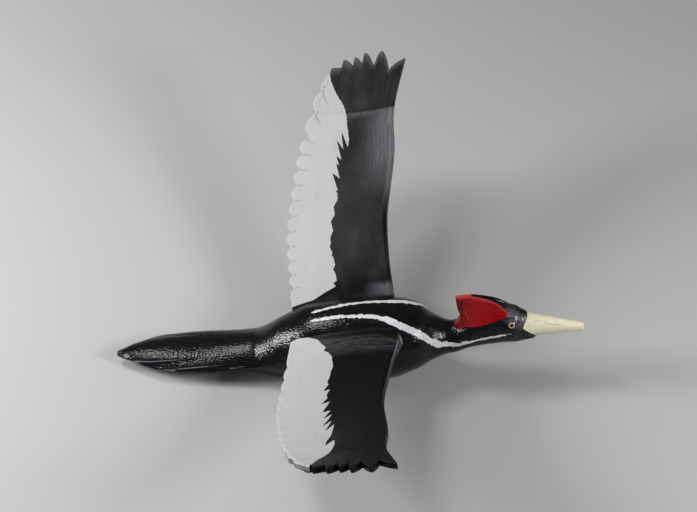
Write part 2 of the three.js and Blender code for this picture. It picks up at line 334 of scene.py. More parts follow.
# The two white lines: x, degrees down from the middle of the back, half width
RIGHT_LINE = (
    (-49, 10.9, -1.6),
    (-37, 10.4, 1.4),
    (-6, 9.2, 1.9),
    (20, 11.0, 2.1),
    (34.6, 15.3, 2.7),
    (48.4, 23.5, 3.5),
    (63.3, 33.7, 3.5),
    (77.2, 44.0, 3.5),
    (86.9, 55.3, 3.4),
    (95.5, 66.0, 3.2),
    (106, 71.0, 2.7),
    (124, 85.5, 2.0),
    (142.8, 87.0, 1.5),
    (161.6, 83.2, 1.2),
    (177, 77.5, -1.4),
)
LEFT_LINE = (
    (-52.5, 3.4, -1.6),
    (-38, 6.8, 1.5),
    (-22, 10.6, 2.0),
    (-1, 16.0, 2.1),
    (20, 19.5, 2.2),
    (41.6, 18.6, 2.8),
    (57.5, 20.5, 3.3),
    (68, 25.0, 3.5),
    (78, 36.0, 3.5),
    (86.9, 52.0, 3.4),
    (95.5, 65.0, 3.2),
    (106, 71.0, 2.7),
    (124, 85.5, 2.0),
    (142.8, 87.0, 1.5),
    (161.6, 83.2, 1.2),
    (177, 77.5, -1.4),
)
# The red of the crest, seen from the side: x, lowest and highest red
RED = (
    (108.5, 72.0, 121),
    (111, 69.5, 121),
    (116, 70.0, 121),
    (120.7, 74.9, 118),
    (128.6, 77.5, 114.6),
    (137.9, 81.6, 112.9),
    (147.1, 85.7, 109.8),
    (156.5, 89.8, 104.2),
    (164.8, 92.6, 95.4),
    (167.7, 93.4, 93.2),
    (175, 96.0, 90.0),
)
RED_REAR = 107
# The edges of the red slant, so they are nearer than they stand straight below or above
RED_LOW_EDGE_SLANT = 0.9
RED_HIGH_EDGE_SLANT = 0.8
# Width of the painted highlight along the ridge behind and in front, and where it gets narrower
CREST_HIGHLIGHT_WIDTHS = (4.5, 2.2)
CREST_HIGHLIGHT_NARROWS = (135, 155)
# Painted highlight along the side edges of the right tail feathers: its half width, and the length
# over which it fades in
EDGE_HIGHLIGHT_HALF = 0.9
EDGE_HIGHLIGHT_STARTS_IN = 4


def painted_line(rows, place):
    """Millimetres from the edge of a white line, less than 0 inside it."""
    centre = smooth_row(SECTIONS, place.x, CENTRE)
    radius = math.hypot(place.y, place.z - centre)
    middle = math.radians(smooth_row(rows, place.x, 1))
    ahead = math.radians(smooth_row(rows, place.x + 1, 1))
    slant = math.cos(math.atan(radius * (ahead - middle)))
    turned_down = math.atan2(abs(place.y), place.z - centre)
    return abs(turned_down - middle) * radius * slant - smooth_row(rows, place.x, 2)


def red_edge(place):
    """Millimetres inside the red of the crest."""
    above_low = RED_LOW_EDGE_SLANT * (place.z - smooth_row(RED, place.x, 1))
    below_high = RED_HIGH_EDGE_SLANT * (smooth_row(RED, place.x, 2) - place.z)
    return min(above_low, below_high, place.x - RED_REAR)


def crest_highlight(place):
    """How far below the upper edge of the red, in widths of the painted highlight along the ridge.
    """
    ridge = min(smooth_row(RED, place.x, 2), smooth_row(CREST_RIDGE, place.x, 1))
    width = lerp(*CREST_HIGHLIGHT_WIDTHS, smoothstep(place.x, *CREST_HIGHLIGHT_NARROWS))
    return (ridge - place.z) / width


def edge_highlight(place):
    """How strong the painted highlight is along the side edges of the right tail feathers, from 0
    to 1.
    """
    lightening = 0
    for pair, (start, end) in zip(TAIL_PAIRS, EDGE_SPANS):
        away = abs(-place.y - pair_half_width(pair, place.x))
        fading = smoothstep(place.x, start, start + EDGE_HIGHLIGHT_STARTS_IN)
        fading *= edge_fading(place.x, start, end)
        lightening = max(lightening, fading * (1 - away / EDGE_HIGHLIGHT_HALF))
    return lightening


def add_measure(bm, name, measure):
    layer = bm.verts.layers.float.new(name)
    for v in bm.verts:
        v[layer] = measure(v.co)


def white_line(place):
    return painted_line(RIGHT_LINE if place.y < 0 else LEFT_LINE, place)


add_measure(body_mesh, "white_line", white_line)
add_measure(body_mesh, "red_crest", red_edge)
add_measure(body_mesh, "crest_highlight", crest_highlight)
add_measure(body_mesh, "edge_highlight", edge_highlight)
bmesh.ops.scale(body_mesh, verts=body_mesh.verts, vec=(MM, MM, MM))
body = new_piece("painted_body", body_mesh)


class Tone:
    """One socket of a finish: + - and * on it add the Math nodes."""

    def __init__(self, tree, socket):
        self.tree = tree
        self.socket = socket

    def node(self, kind, settings, inputs, output=0):
        """Adds one node, its settings first, then the values or tones of its sockets."""
        made = self.tree.nodes.new("ShaderNode" + kind)
        for name, value in settings.items():
            setattr(made, name, value)
        for name, value in inputs.items():
            if isinstance(value, Tone):
                self.tree.links.new(value.socket, made.inputs[name])
            else:
                made.inputs[name].default_value = value
        return Tone(self.tree, made.outputs[output])

    def math(self, operation, *values):
        return self.node("Math", {"operation": operation}, dict(enumerate(values)))

    def vector_math(self, operation, output, *values):
        """Output 0 is a vector and output 1 a number."""
        return self.node("VectorMath", {"operation": operation}, dict(enumerate(values)), output)

    def __add__(self, other):
        return self.math("ADD", self, other)

    def __radd__(self, other):
        return self.math("ADD", other, self)

    def __sub__(self, other):
        return self.math("SUBTRACT", self, other)

    def __rsub__(self, other):
        return self.math("SUBTRACT", other, self)

    def __mul__(self, other):
        return self.math("MULTIPLY", self, other)

    def __rmul__(self, other):
        return self.math("MULTIPLY", other, self)

    def step(self, low, high):
        """From 0 at low to 1 at high, with a soft start and end."""
        limits = {0: self, 1: low, 2: high}
        return self.node("MapRange", {"interpolation_type": "SMOOTHSTEP"}, limits)

    def stretched(self, scale):
        """This place, as a pattern sees it when it is scaled along X, Y and Z."""
        return self.node("Mapping", {}, {"Vector": self, "Scale": scale})

    def noise(self, scale, detail):
        return self.node("TexNoise", {}, {"Vector": self, "Scale": scale, "Detail": detail})

    def measured(self, name):
        """A measure that the piece's own mesh carries at each corner."""
        return self.node("Attribute", {"attribute_name": name}, {}, output=2)

    def axis(self, number):
        """This place along X, Y or Z: 0, 1 or 2."""
        return self.node("SeparateXYZ", {}, {0: self}, output=number)

    def at_least(self, other):
        """The larger of two tones."""
        return self.math("MAXIMUM", self, other)

    def mixed(self, colour_where_0, colour_where_1):
        """A colour that goes from one to the other as this tone goes from 0 to 1."""
        inputs = {0: self, 6: colour_where_0, 7: colour_where_1}
        return self.node("Mix", {"data_type": "RGBA"}, inputs, output=2)

    def relief(self, strength, distance):
        """A bump as high as this tone."""
        return self.node("Bump", {}, {"Strength": strength, "Distance": distance, "Height": self})


def scratch(place, points, width):
    """1 on a fine line through points in millimetres, 0 beyond its half width."""
    marks = []
    for start, end in zip(points, points[1:]):
        start, run = Vector(start) * MM, (Vector(end) - Vector(start)) * MM
        from_start = place.vector_math("SUBTRACT", 0, place, start)
        share = place.vector_math("DOT_PRODUCT", 1, from_start, run / run.length_squared)
        share = place.node("Clamp", {}, {"Value": share})
        nearest = place.vector_math("MULTIPLY_ADD", 0, run, share, start)
        away = place.vector_math("DISTANCE", 1, place, nearest)
        marks.append(1 - away.step(0, width * MM))
    line = marks[0]
    for mark in marks[1:]:
        line = line.at_least(mark)
    return line


def finish(name, fixed, varying):
    """A material: fixed sets the shader's own sockets, varying(place) returns the others."""
    material = bpy.data.materials.new(name)
    material.use_nodes = True
    tree = material.node_tree
    shader = tree.nodes["Principled BSDF"]
    for socket, value in fixed.items():
        shader.inputs[socket].default_value = value
    coordinates = tree.nodes.new("ShaderNodeTexCoord")
    for socket, tone in varying(Tone(tree, coordinates.outputs["Object"])).items():
        tree.links.new(tone.socket, shader.inputs[socket])
    return material


def colour(red, green, blue):
    return (red, green, blue, 1)


BLACK = colour(0.003, 0.003, 0.0036)
BLACK_RUBBED = colour(0.009, 0.009, 0.011)
WHITE = colour(0.76, 0.77, 0.79)
WHITE_THIN = colour(0.6, 0.61, 0.63)
CREST_RED = colour(0.36, 0.0, 0.004)
CREST_SHADE_AND_STREAK_RED = colour(0.17, 0.0, 0.003)
CREST_HIGHLIGHT_AND_SCRATCH_RED = colour(0.62, 0.05, 0.07)
# Grey for the painted highlights along the tail feathers' edges, the rubbed crown with its painted
# sheen, and the nape marks
HIGHLIGHT_AND_RUBBED_GREY = colour(0.16, 0.16, 0.185)
FILLER_HIGHLIGHT = colour(0.34, 0.34, 0.38)
# Where the black is rubbed in front of the crest, lighter with a painted sheen, the light grey
# marks behind it, the dark line down the rear of the red with a scratch beside it, and painted
# highlights along the filler at the right wing's root
CROWN_RUBBED_SHEEN = ((168, -8, 94), (183, -10, 85.5))
NAPE_LIGHT_MARKS = ((113.2, -7, 69.8), (116, -9.5, 70.5), (118.5, -10.5, 72.5))
CREST_NOTCHES = (
    *((114.8, -2.4, 105), (118.7, -4, 97.5), (117.3, -4.5, 91.8)),
    *((122.3, -6.5, 86.7), (119.2, -6.8, 80.3), (120.4, -8.2, 75.7)),
)
CREST_SCRATCH = ((120, -4.5, 95), (123.5, -6.3, 90), (124.8, -7.2, 84.5))
FILLER_HIGHLIGHT_LINES = (
    ((51.7, -27.4, 82.4), (53.7, -29.3, 78), (55.2, -33.5, 74.2)),
    ((50.9, -35.1, 80.7), (48.3, -50.4, 81.6), (44.3, -71.4, 85.9)),
)
CROWN_RUBBED_SHEEN_WIDTH = 12
NAPE_LIGHT_MARKS_WIDTH = 1.2
CREST_NOTCH_WIDTH = 1.1
CREST_SCRATCH_WIDTH = 0.9
FILLER_HIGHLIGHT_WIDTH = 1.5
# The rear facet of the crest is painted darker, as shade, up to this place along the bird, in
# metres
FACET_FRONT = 0.119
FACET_SOFTNESS = (-0.001, 0.0005)
# How fine each pattern of the paint is along, across and up, in cells a metre
STREAKS = (60, 420, 420)
STIPPLE = (400, 560, 560)
RAGGED_EDGES = (220, 320, 320)
BRISTLE_HEIGHT = 0.0004
BODY_GLOSS = 0.3


# Painted highlights along the ridges of the filler at the right wing's root
def filler_highlights(place):
    upper, lower = (scratch(place, marks, FILLER_HIGHLIGHT_WIDTH) for marks in FILLER_HIGHLIGHT_LINES)
    return upper.at_least(lower * 0.5)


def crest_paint(place, streaks, ragged):
    """Red, with painted shade on the rear facet and a painted highlight along the ridge, with its
    scratch and dark notches.
    """
    facet_front, facet_end = (FACET_FRONT + softness for softness in FACET_SOFTNESS)
    rear_facet_shade = 1 - (place.axis(0) + ragged * 0.002).step(facet_front, facet_end)
    # Painted shade on the rear facet of the crest, and darker brush streaks
    dark = rear_facet_shade * 0.7 + streaks.step(0.4, 0.65) * 0.6
    # A painted highlight along the ridge of the crest
    light = (1 - (place.measured("crest_highlight") + ragged * 0.8).step(0.4, 1.1)) * 0.8
    scratched = scratch(place, CREST_SCRATCH, CREST_SCRATCH_WIDTH) * streaks
    notched = scratch(place, CREST_NOTCHES, CREST_NOTCH_WIDTH) * 0.85
    reds = dark.mixed(CREST_RED, CREST_SHADE_AND_STREAK_RED)
    reds = light.mixed(reds, CREST_HIGHLIGHT_AND_SCRATCH_RED)
    return notched.mixed(scratched.mixed(reds, CREST_HIGHLIGHT_AND_SCRATCH_RED), BLACK)


def body_paint(place):
    streaks = place.stretched(STREAKS).noise(1.0, 4.0)
    stipple = place.stretched(STIPPLE).noise(1.0, 0.5)
    ragged = place.stretched(RAGGED_EDGES).noise(1.0, 3.0) - 0.5
    white = 1 - (place.measured("white_line") + ragged * 5.0).step(-0.25, 0.25)
    red = (place.measured("red_crest") + ragged * 1.2).step(-0.3, 0.3)
    black = streaks.step(0.42, 0.75).mixed(BLACK, BLACK_RUBBED)
    whites = streaks.step(0.35, 0.7).mixed(WHITE, WHITE_THIN)
    # Rubbed black in front of the crest, lighter with a painted sheen
    crown = scratch(place, CROWN_RUBBED_SHEEN, CROWN_RUBBED_SHEEN_WIDTH) * streaks.step(0.28, 0.58) * 0.85
    crown_and_nape_marks = crown.at_least(scratch(place, NAPE_LIGHT_MARKS, NAPE_LIGHT_MARKS_WIDTH))
    # Painted highlights along the side edges of the right tail feathers
    edges = place.measured("edge_highlight").step(0.3, 0.9) * streaks.step(0.3, 0.5)
    black = edges.at_least(crown_and_nape_marks).mixed(black, HIGHLIGHT_AND_RUBBED_GREY)
    black = filler_highlights(place).mixed(black, FILLER_HIGHLIGHT)
    return {
        "Base Color": red.mixed(white.mixed(black, whites), crest_paint(place, streaks, ragged)),
        "Roughness": 0.12 + streaks * 0.14,
        "Normal": (stipple + streaks * 0.2).relief(1.0, BRISTLE_HEIGHT),
    }


body.data.materials.append(finish("body_paint", {"Specular IOR Level": BODY_GLOSS}, body_paint))
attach(body, "root")
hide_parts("body")


# Wings
# Two thin boards, set into the body's sides and raised, with the joint filled and sanded. The
# rear edge is cut in rounded feather ends and the tip in pointed ones, with a knife line running
# in from each notch. They are black with an off-white rear half on top.

LEADING_EDGE = (
    (52, 8, 77),
    (50.4, 27, 81.2),
    (41.5, 84, 92),
    (36, 134, 106),
    (41.5, 200, 134),
    (40.5, 242, 156),
    (52.4, 290.5, 187.5),
)
TRAILING_EDGE = (
    (-62, 8, 56),
    (-64, 29.5, 59),
    (-70, 80, 60.6),
    (-73.4, 124, 70.6),
    (-71, 165, 87),
    (-63, 214, 114.5),
    (-49, 258, 147.5),
    (-37, 275.5, 163.5),
)
EDGE_STEPS = 604
CURVE_STEPS = 60
ROOT_THICKNESS = 11
TIP_THICKNESS = 8.4
CAMBER = 3
CHORD = 115
# Filler raises the wing beside the body, fully at the first distance from the middle plane and
# no more at the second. It meets the back in a hollow, and ends just under the back's own skin.
FILLER_RISE = 5
FILLER_SPREAD = (30, 62)
JOINT_REACH = 8
JOINT_END = 60
JOINT_UNDER_SKIN = 0.4
# A wedge of filler under the front edge, and the stretch where a set-back edge comes forward
WEDGE_LENGTH = 34
WEDGE_WIDTH = 12
SET_BACK_FADES = (50, 160)
# The back beside the middle is round for a share of its half width, then falls away straight
BACK_ROUND = 0.72
BACK_FALL = 1.04

# Feather ends along the rear edge, from the body outwards: length, depth of the cut, lean and
# reach of the knife line that runs in from its outer notch
INSIDE_BODY = 21
ROWS_INSIDE = 14
FIRST_FEATHER_FROM = 0.6
REAR_FEATHERS = (
    (28, 4.6, 0, 11),
    (18.3, 4.6, 0, 11),
    (18.3, 4.6, 0, 12),
    (18.3, 4.6, 0, 13),
    (18.3, 4.8, 0, 13),
    (18.3, 4.8, 0, 13),
    (18.3, 5.0, 0, 14),
    (18.3, 5.0, 0.1, 15),
    (18.3, 5.2, 0.2, 18),
    (18.3, 5.4, 0.3, 21),
    (18.3, 5.8, 0.6, 25),
    (29, 8.0, 1.2, 28),
    (29, 8.0, 1.6, 34),
    (12, 2.0, 0, 0),
)
SPAN = INSIDE_BODY + sum(feather[0] for feather in REAR_FEATHERS)

# Feather ends across the tip: share of the chord, reach, and length of the knife line at a notch
TIP_FEATHERS = (
    (0, 0, 0),
    (0.045, -1.5, 0),
    (0.19, -9, 28),
    (0.29, 15, 0),
    (0.38, 0.5, 20),
    (0.485, 18, 0),
    (0.52, 6.5, 13),
    (0.6, 16, 0),
    (0.63, 7, 16),
    (0.73, 16.5, 0),
    (0.765, 8.5, 24),
    (0.885, 11.5, 0),
    (0.9, 5, 14),
    (0.94, 5.5, 0),
    (1, 0, 0),
)
TIP_SWEEP = 26
TIP_FAN = (0.12, -0.2)
FEATHER_STRAIGHTENING = 0.3
REAR_CUT_REACH = 12
SQUARE = 1.05
KNIFE_DEPTH = 0.8
KNIFE_WIDTH = 1.4
KNIFE_START = -1.5
NOTCH_SINK = 0.4
NOTCH_SINK_REACH = (2, 16)
RIM_WIDTH = 3
RIM_SINK_ABOVE = 0.8
RIM_SINK_BELOW = 1.2
RIM_ROUNDS = 6
# The tip lies a little lower beyond a crease: its place at the front edge, how much further out
# it lies at the rear edge, its width, and the drop
CREASE_START = 247
CREASE_LEAN = 15
CREASE_WIDTH = 5
CREASE_DROP = 0.9


def edge_points(knots, count):
    """Points at equal steps along a smooth curve through the knots."""
    knots = [Vector(knot) for knot in knots]
    knots = [2 * knots[0] - knots[1]] + knots + [2 * knots[-1] - knots[-2]]
    fine = []
    for p0, p1, p2, p3 in zip(knots, knots[1:], knots[2:], knots[3:]):
        gap0, gap1, gap2 = (math.sqrt((b - a).length) for a, b in ((p0, p1), (p1, p2), (p2, p3)))
        leave = ((p1 - p0) / gap0 - (p2 - p0) / (gap0 + gap1) + (p2 - p1) / gap1) * gap1
        arrive = ((p2 - p1) / gap1 - (p3 - p1) / (gap1 + gap2) + (p3 - p2) / gap2) * gap1
        for step in range(CURVE_STEPS):
            t = step / CURVE_STEPS
            square = (3 * (p2 - p1) - 2 * leave - arrive) * t**2
            fine.append(p1 + leave * t + square + (2 * (p1 - p2) + leave + arrive) * t**3)
    fine.append(knots[-2])
    lengths = np.cumsum([0] + [(b - a).length for a, b in zip(fine, fine[1:])])
    shares = np.linspace(0, lengths[-1], count)
    axes = [np.interp(shares, lengths, [p[axis] for p in fine]) for axis in range(3)]
    return [Vector(p) for p in zip(*axes)]


LEADING_POINTS = edge_points(LEADING_EDGE, EDGE_STEPS + 1)
TRAILING_POINTS = edge_points(TRAILING_EDGE, EDGE_STEPS + 1)


def rear_cut(depth, share):
    """How far the edge stands back at a share of a feather: ends round, notches sharp."""
    return depth * abs(2 * share**1.35 - 1) ** 2.2


def wing_rows(carved):
    """Rows from the body to the tip: length out, cut of the rear edge, closeness to a notch."""
    rows = [(step * INSIDE_BODY / ROWS_INSIDE, 0, 0) for step in range(ROWS_INSIDE)]
    start = INSIDE_BODY
    for length, depth, _, _ in REAR_FEATHERS:
        steps = round(length / SQUARE)
        for step in range(steps):
            share = step / steps
            if start == INSIDE_BODY:
                share = max(share, FIRST_FEATHER_FROM)
            cut = carved * rear_cut(depth, share)
            rows.append((start + length * step / steps, cut, abs(2 * share - 1)))
        start += length
    rows.append((start, 0, 0))
    return rows


def tip_reach(chord):
    """How far the tip reaches at a share of the chord: feathers round out from their notches."""
    for (start, low, _), (end, high, _) in zip(TIP_FEATHERS, TIP_FEATHERS[1:]):
        if start <= chord <= end:
            share = (chord - start) / (end - start)
            rounded = 1 - share**1.7 if low > high else 1 - (1 - share) ** 1.7
            return lerp(min(low, high), max(low, high), rounded)
    return 0


def wing_columns():
    """Shares of the chord, with one column on every point and notch of the tip."""
    columns = [0]
    for (start, _, _), (end, _, _) in zip(TIP_FEATHERS, TIP_FEATHERS[1:]):
        steps = max(3, round((end - start) * CHORD / SQUARE))
        columns += [lerp(start, end, (step + 1) / steps) for step in range(steps)]
    return columns


def knife_lines():
    """Start, direction and length of each knife line, as places on the wing laid flat."""
    lines = []
    start = INSIDE_BODY
    for length, depth, lean, reach in REAR_FEATHERS[:-1]:
        start += length
        away = Vector((-lean, -1)).normalized()
        lines.append((Vector((start, CHORD - 0.6 * depth)), away, reach))
    for chord, reach, line in TIP_FEATHERS:
        if line:
            lines.append((Vector((SPAN + min(0, reach), chord * CHORD)), Vector((-1, 0)), line))
    return lines


KNIFE_LINES = knife_lines()


def knife_cut(along, across):
    """From 0 away from the knife lines to 1 in the middle of one, fading towards its end."""
    here = Vector((along, across))
    cut = 0
    for start, away, length in KNIFE_LINES:
        offset = here - start
        run = offset.dot(away)
        if KNIFE_START < run < length:
            aside = abs(offset.x * away.y - offset.y * away.x)
            cut = max(cut, (1 - aside / KNIFE_WIDTH) * math.sqrt(1 - max(0, run) / length))
    return cut


def rises_with(wing_height, body_height, reach):
    """The higher of the two, blended in a hollow of filler where they are close."""
    close = max(0, reach - abs(wing_height - body_height)) / reach
    return max(wing_height, body_height) + close**2 * reach / 4


def back_height(x, y):
    """Height of the body's back over a place, carried on straight past the flank."""
    aside = abs(y) / smooth_row(SECTIONS, x, HALF)
    rounded = math.sqrt(1 - min(aside, BACK_ROUND) ** 2) - BACK_FALL * max(0, aside - BACK_ROUND)
    return smooth_row(SECTIONS, x, CENTRE) + smooth_row(SECTIONS, x, ABOVE) * rounded


def wing_frame(length):
    """Front and rear of the wing at a length out, and its directions out, to the rear and up."""
    at = length / SPAN * EDGE_STEPS
    low = min(EDGE_STEPS - 1, int(at))
    front = LEADING_POINTS[low].lerp(LEADING_POINTS[low + 1], at - low)
    rear = TRAILING_POINTS[low].lerp(TRAILING_POINTS[low + 1], at - low)
    outwards = (LEADING_POINTS[low + 1] - LEADING_POINTS[low]).normalized()
    rearwards = (rear - front).normalized()
    return front, rear, outwards, rearwards, outwards.cross(rearwards).normalized()


def wing_mesh(set_back, wedge, carved):
    """The left wing in millimetres. Near the body its front edge may be set back, or filled out
    by a wedge below it; carved is how deep its feather ends and crease are cut, from 0 to 1."""
    rows = wing_rows(carved)
    columns = wing_columns()
    reaches = [tip_reach(chord) for chord in columns]
    frames = [wing_frame(row[0]) for row in rows]
    bm = bmesh.new()
    bmesh.ops.create_grid(bm, x_segments=len(columns) - 1, y_segments=len(rows) - 1, size=1)
    names = ("along_wing", "across_wing", "above_wing", "knife_line")
    along, across, above, knife = (bm.verts.layers.float.new(name) for name in names)
    row_layer, column_layer = (bm.verts.layers.int.new(name) for name in ("row", "column"))
    for v in bm.verts:
        v[column_layer] = round((v.co.x + 1) / 2 * (len(columns) - 1))
        v[row_layer] = round((v.co.y + 1) / 2 * (len(rows) - 1))
        v[above] = 1
    under = bmesh.ops.extrude_face_region(bm, geom=list(bm.faces), use_keep_orig=True)["geom"]
    for v in under:
        if isinstance(v, bmesh.types.BMVert):
            v[above] = 0
    for v in bm.verts:
        length, cut, near_notch = rows[v[row_layer]]
        chord = columns[v[column_layer]]
        front, rear, outwards, rearwards, upwards = frames[v[row_layer]]
        width = (rear - front).length
        from_tip = SPAN - length
        from_front, from_rear = chord * width, (1 - chord) * width
        v[along], v[across] = length, chord * CHORD
        v[knife] = carved * knife_cut(length, chord * CHORD)
        place = front.lerp(rear, chord)
        place.x -= set_back * (1 - chord) ** 2 * (1 - smoothstep(length, *SET_BACK_FADES))
        fan = Vector((lerp(*TIP_FAN, chord), outwards.y, outwards.z)).normalized()
        place += fan * reaches[v[column_layer]] * (1 - smoothstep(from_tip, 0, TIP_SWEEP))
        straight = from_tip * (1 - smoothstep(from_tip, TIP_SWEEP, 3 * TIP_SWEEP))
        place.x += 4 * chord * (1 - chord) * FEATHER_STRAIGHTENING * straight
        place -= rearwards * cut * (1 - smoothstep(from_rear, 0, REAR_CUT_REACH))
        height = CAMBER * math.sin(math.pi * chord)
        rim = 1 - smoothstep(min(from_front, from_rear, from_tip), 0, RIM_WIDTH)
        if v[above]:
            height -= KNIFE_DEPTH * v[knife] + RIM_SINK_ABOVE * rim
            height -= NOTCH_SINK * near_notch**4 * (1 - smoothstep(from_rear, *NOTCH_SINK_REACH))
            crease = CREASE_START + CREASE_LEAN * chord**2
            height -= CREASE_DROP * carved * smoothstep(length, crease, crease + CREASE_WIDTH)
            v.co = place + upwards * height
            near, far = FILLER_SPREAD
            thinning = clamp((far - v.co.y) / (far - near)) ** 2
            thinning *= smoothstep(v.co.y, near / 2, near)
            ends = smoothstep(chord, -0.05, 0.2) * (1 - 0.6 * smoothstep(chord, 0.6, 1))
            v.co.z += FILLER_RISE * thinning * ends
            if v.co.y < JOINT_END:
                back = back_height(v.co.x, v.co.y) - JOINT_UNDER_SKIN
                v.co.z = rises_with(v.co.z, back, JOINT_REACH)
        else:
            height -= lerp(ROOT_THICKNESS, TIP_THICKNESS, length / SPAN) - RIM_SINK_BELOW * rim
            v.co = place + upwards * height
            flare = 1 - smoothstep(length - INSIDE_BODY, 0, WEDGE_LENGTH)
            v.co.x += wedge * flare * (1 - smoothstep(from_front, 0, WEDGE_WIDTH))
    uprights = [
        edge
        for edge in bm.edges
        if all(edge.verts[0][layer] == edge.verts[1][layer] for layer in (row_layer, column_layer))
    ]
    walls = bmesh.ops.subdivide_edges(bm, edges=uprights, cuts=RIM_ROUNDS)["geom"]
    rounded = {v for v in walls if isinstance(v, bmesh.types.BMVert)}
    rounded |= {end for v in rounded for edge in v.link_edges for end in edge.verts}
    sand(bm, list(rounded), 1)
    return bm


# The edge of the white on each wing, from the root outwards: length out, share of the chord.
# Black feather points cut into it, each listed with the white point just inside of it.
RIGHT_WHITE = (
    *((20, 1.1), (15.5, 0.97), (15, 0.91), (17, 0.82), (21.5, 0.73), (28, 0.687)),
    *((32.5, 0.642), (37.5, 0.651), (40, 0.608), (46.6, 0.564), (54, 0.547), (63, 0.526)),
    *((70, 0.535), (82, 0.534), (88, 0.547), (94, 0.526), (105, 0.562), (103, 0.499)),
    *((113, 0.524), (120, 0.509)),
    *((131, 0.567), (128, 0.482), (149, 0.562), (147, 0.479), (164, 0.562), (156, 0.469)),
    *((183, 0.582), (170, 0.481), (196, 0.571), (180, 0.468), (210, 0.52), (236, 0.607)),
    *((222, 0.481), (234, 0.51), (248, 0.607), (263, 0.706), (277, 0.783), (290, 0.863)),
    *((304, 0.96), (330, 1.1)),
)
LEFT_WHITE = (
    *((16, 1.1), (20, 0.99), (21.5, 0.9), (22.5, 0.8), (27.5, 0.735), (33, 0.66), (36.8, 0.6)),
    *((39.4, 0.555), (45.2, 0.568), (48, 0.535), (57, 0.535), (64, 0.553), (70, 0.528), (80, 0.54)),
    *((82, 0.556), (85, 0.545), (94, 0.566), (99, 0.548), (104, 0.556), (113, 0.522)),
    *((124, 0.547), (132, 0.51), (141, 0.53), (149, 0.498), (157, 0.508), (161, 0.536)),
    *((160, 0.506), (183, 0.593), (174, 0.505), (193, 0.565), (190, 0.532), (202, 0.575)),
    *((196, 0.515), (221, 0.59), (208, 0.508), (231, 0.55), (209, 0.46), (219, 0.458)),
    *((229, 0.479), (243, 0.562), (257, 0.649), (270, 0.728), (279, 0.78), (286, 0.825)),
    *((291, 0.86), (297, 0.885), (304, 0.9), (330, 0.9)),
)


def white_edge(outline, along, across):
    """Millimetres inside the white, for arrays of places on the wing."""
    corners = np.array([(length, chord * CHORD) for length, chord in outline])
    corners = np.concatenate((corners, [(corners[-1][0], 2 * CHORD), (corners[0][0], 2 * CHORD)]))
    places = np.stack((along, across), 1)
    nearest = np.full(len(places), 1e9)
    inside = np.zeros(len(places), bool)
    for start, end in zip(corners, np.roll(corners, -1, 0)):
        run = end - start
        share = np.clip((places - start) @ run / (run @ run), 0, 1)
        nearest = np.minimum(nearest, np.linalg.norm(places - start - share[:, None] * run, axis=1))
        crosses = (start[1] > places[:, 1]) != (end[1] > places[:, 1])
        meets = start[0] + (places[:, 1] - start[1]) * run[0] / (run[1] or 1e-9)
        inside ^= crosses & (places[:, 0] < meets)
    return np.where(inside, nearest, -nearest)


def measure_of(mesh, name):
    values = np.zeros(len(mesh.vertices))
    mesh.attributes[name].data.foreach_get("value", values)
    return values


WING_WHITE = colour(0.5, 0.51, 0.51)
WING_WHITE_THIN = colour(0.42, 0.43, 0.43)
KNIFE_SHADE = colour(0.26, 0.26, 0.255)
RIM_GREY = colour(0.15, 0.15, 0.14)
# Lighter black for worn paint and for painted sheen
WING_WORN_AND_SHEEN = colour(0.17, 0.17, 0.19)
# How fine each pattern is along the wing and across it, in cells a millimetre
BRUSH_MARKS = (0.035, 0.75, 1)
THIN_PATCHES = (0.022, 0.04, 1)
STROKES_AT_ROOT = (0.6, 0.06, 1)
RAGGED_WHITE = 0.45
BRUSH_HEIGHT = 0.0005
WING_GLOSS = 0.16


def band(tone, rise, fall):
    """1 between the end of the rise and the start of the fall, 0 outside them."""
    return tone.step(*rise) * (1 - tone.step(*fall))


